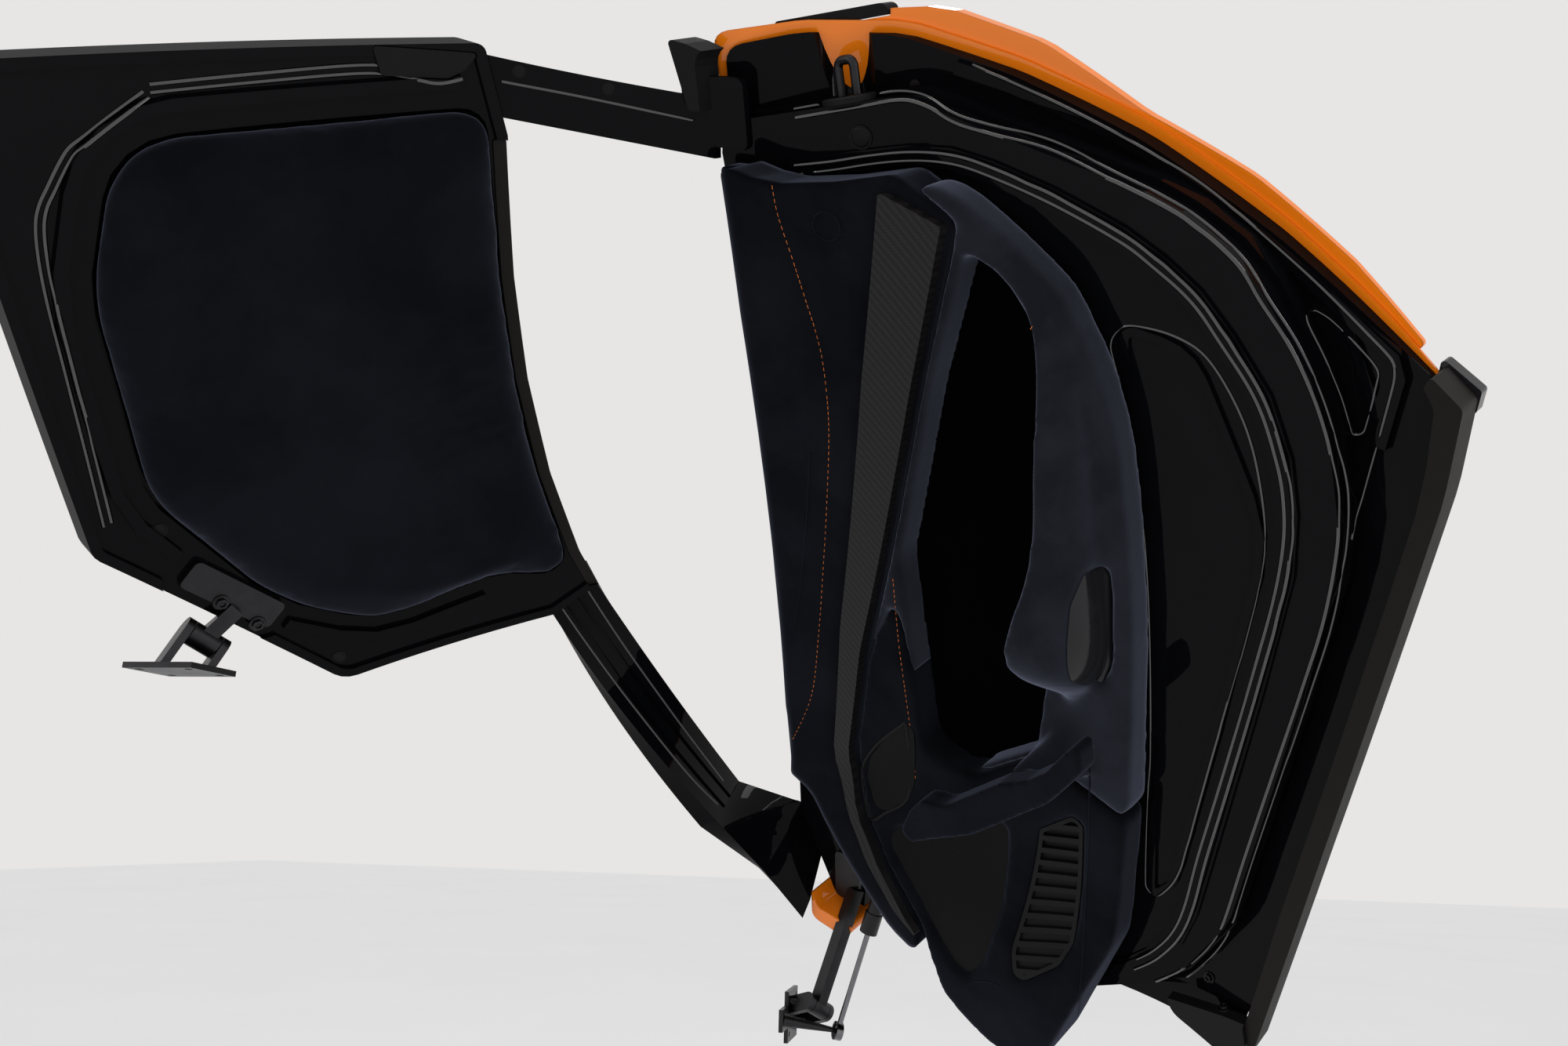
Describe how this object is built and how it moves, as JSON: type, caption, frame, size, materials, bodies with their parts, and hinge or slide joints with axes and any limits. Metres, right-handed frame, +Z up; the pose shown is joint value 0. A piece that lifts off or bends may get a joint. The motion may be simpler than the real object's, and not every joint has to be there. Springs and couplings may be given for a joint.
{
  "type": "supercar butterfly door with roof section",
  "caption": "Right-hand supercar door with its roof section, open ring-shaped frame and trimmed card, on a slanted hinge pair with a gas strut.",
  "frame": {"origin": "centre of the bolted face of the lower hinge bracket, on the outboard side of the body it is fixed to", "axes": "+X outboard to the car's right, +Y towards the front of the car, +Z up; the door stands fully open"},
  "size_m": [1.274, 1.2566, 1.0591],
  "materials": {
    "black_lacquer": "gloss black clear-coated paint",
    "satin_black": "matte moulded plastic",
    "orange_lacquer": "bright orange clear-coated paint",
    "smoky_lens": "smoky moulded lens",
    "seal_rubber": "soft extruded rubber",
    "suede": "black microfibre suede",
    "pocket_fabric": "flocked lining",
    "woven_trim": "fine diagonal weave under satin lacquer",
    "perforated_trim": "perforated black trim",
    "dark_steel": "dark coated steel",
    "strut_black": "black coated strut cylinder",
    "strut_rod": "polished dark rod"
  },
  "bodies": {
    "root": {"lower_bracket": "dark_steel", "upper_bracket": "dark_steel"},
    "door": {"blade_strip": "satin_black", "card_body": "suede", "card_front": "suede", "card_panel": "suede", "courtesy_lamp": "smoky_lens", "decor_strip": "woven_trim", "front_fin": "satin_black", "headliner": "suede", "inner_pressing": "black_lacquer", "latch_base": "satin_black", "latch_hook": "dark_steel", "lower_hinge_arm": "dark_steel", "lower_pocket": "perforated_trim", "outer_blade": "orange_lacquer", "outer_skin": "orange_lacquer", "pillar_bar": "black_lacquer", "pillar_foot": "satin_black", "pocket_liner": "pocket_fabric", "pull_handle": "suede", "rear_bar": "black_lacquer", "rear_fin_cover": "satin_black", "roof_corner_trim": "satin_black", "roof_frame": "black_lacquer", "roof_skin": "black_lacquer", "shoulder_cap": "orange_lacquer", "sill_lens": "smoky_lens", "sill_strip": "satin_black", "slat_grille": "satin_black", "strut_door_stud": "dark_steel", "tweeter_grille": "perforated_trim", "upper_hinge_arm": "dark_steel", "window_seal": "seal_rubber"},
    "strut_cylinder": {"strut_cylinder": "strut_black"},
    "strut_rod": {"strut_rod": "strut_rod"}
  },
  "joints": [
    {"name": "door_swing", "type": "hinge", "parent": "root", "child": "door", "pos_m": [0.046, -0.02575, 0.01507], "axis": [-0.5441, -0.7241, 0.4237], "range_deg": [-65.5, 0]},
    {"name": "strut_swing", "type": "hinge", "parent": "door", "child": "strut_cylinder", "pos_m": [0.16413, -0.09617, 0.24016], "axis": [0.9269, -0.1401, -0.3483], "range_deg": [0, 4.2]},
    {"name": "rod_slide", "type": "slide", "parent": "strut_cylinder", "child": "strut_rod", "axis": [-0.3111, 0.2327, -0.9214], "range_m": [-0.034, 0]}
  ],
  "couplings": [
    {"joint": "strut_swing", "follows": "door_swing", "ratio": -0.063342},
    {"joint": "rod_slide", "follows": "door_swing", "m_per_rad": 0.029511}
  ]
}
